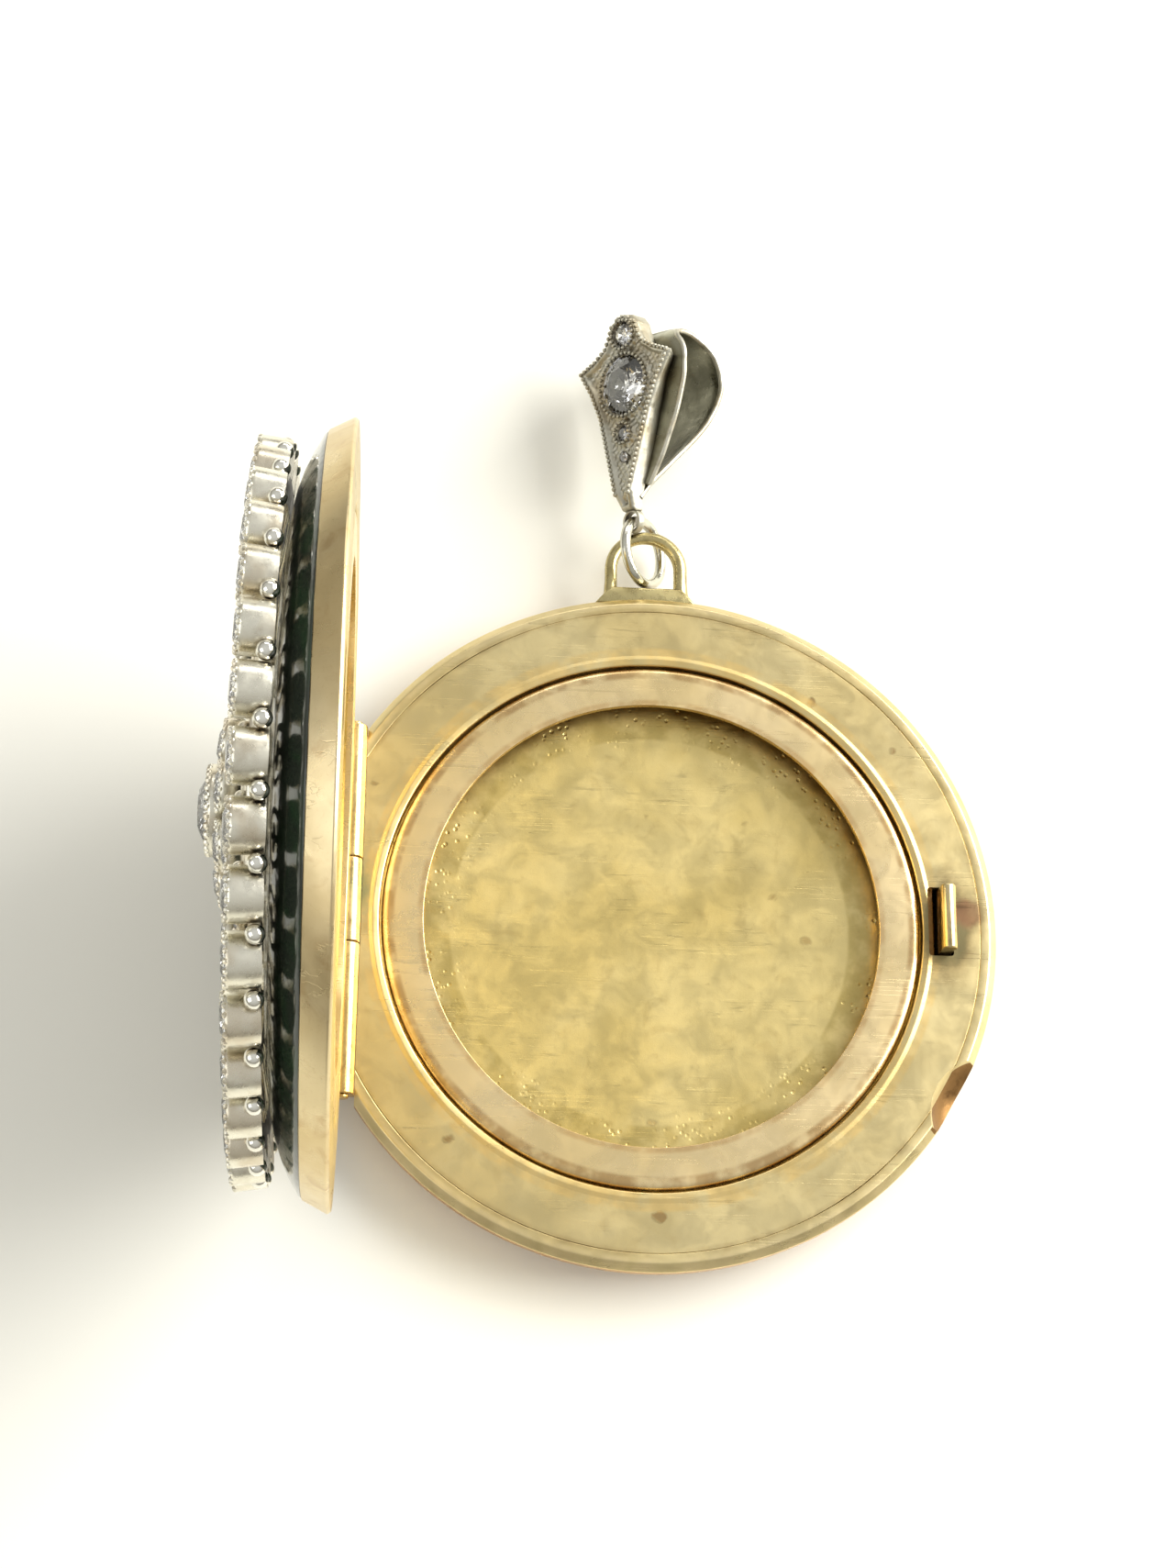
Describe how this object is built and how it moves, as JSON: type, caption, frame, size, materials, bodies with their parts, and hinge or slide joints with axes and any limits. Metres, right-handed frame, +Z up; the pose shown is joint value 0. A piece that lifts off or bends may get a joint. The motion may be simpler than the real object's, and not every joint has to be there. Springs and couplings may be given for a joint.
{
  "type": "locket",
  "caption": "Round hinged gold locket with a green enamel lid under a white-metal stone-set panel, snap-in picture frames, a sprung catch, and a bail on a jump ring.",
  "frame": {"origin": "centre of the back cover's flat outer face, on the surface that the locket lies on", "axes": "+Z up out of the open back half, +Y towards the suspension loop and bail, +X towards the catch; the hinge runs along Y at -X"},
  "size_m": [0.0312, 0.0403, 0.0287],
  "materials": {
    "gold": "satin",
    "gold_pan": "satin tarnished",
    "rose_gold": "satin",
    "white_metal": "polished",
    "enamel": "gloss",
    "stone": "polished"
  },
  "bodies": {
    "back": {"back_shell": "gold", "back_flange": "gold", "back_floor": "gold_pan", "back_knuckle_upper": "gold", "back_knuckle_lower": "gold", "hinge_pin": "gold", "top_loop": "gold"},
    "back_frame": {"back_frame_ring": "rose_gold"},
    "catch": {"catch_tongue": "gold"},
    "lid": {"lid_shell": "gold", "lid_enamel": "enamel", "lid_flange": "gold", "lid_floor": "gold_pan", "lid_knuckle": "gold", "panel_plate": "white_metal", "border_collets": "white_metal", "border_beads": "white_metal", "border_diamonds": "stone", "cluster_collets": "white_metal", "cluster_diamonds": "stone", "field_diamonds": "stone", "panel_pins": "white_metal"},
    "lid_frame": {"lid_frame_ring": "rose_gold"},
    "jump_ring": {"jump_ring": "white_metal"},
    "bail": {"bail_strap": "white_metal", "bail_plate": "white_metal", "bail_large_diamond": "stone", "bail_small_diamonds": "stone"}
  },
  "joints": [
    {"name": "lid_hinge", "type": "hinge", "parent": "back", "child": "lid", "pos_m": [-0.01215, 0, 0.0026], "axis": [0, -1, 0], "range_deg": [-90.3, 24]},
    {"name": "back_frame_lift", "type": "slide", "parent": "back", "child": "back_frame", "axis": [0, 0, 1], "range_m": [0, 0.0016]},
    {"name": "lid_frame_lift", "type": "slide", "parent": "lid", "child": "lid_frame", "axis": [1, 0, 0.0052], "range_m": [0, 0.0016]},
    {"name": "catch_flex", "type": "hinge", "parent": "back", "child": "catch", "pos_m": [0.0118, 0.00036, 0.0007], "axis": [0, 1, 0], "range_deg": [-2.5, 0], "stiffness_Nm_per_rad": 0.05},
    {"name": "jump_ring_swing", "type": "hinge", "parent": "back", "child": "jump_ring", "pos_m": [-0.0003, 0.01691, 0.00193], "axis": [1, 0, 0], "range_deg": [-75, 42]},
    {"name": "bail_swing", "type": "hinge", "parent": "jump_ring", "child": "bail", "pos_m": [-0.00086, 0.0174, 0.00252], "axis": [-0.775, -0.1809, 0.6055], "range_deg": [-20, 20]}
  ]
}
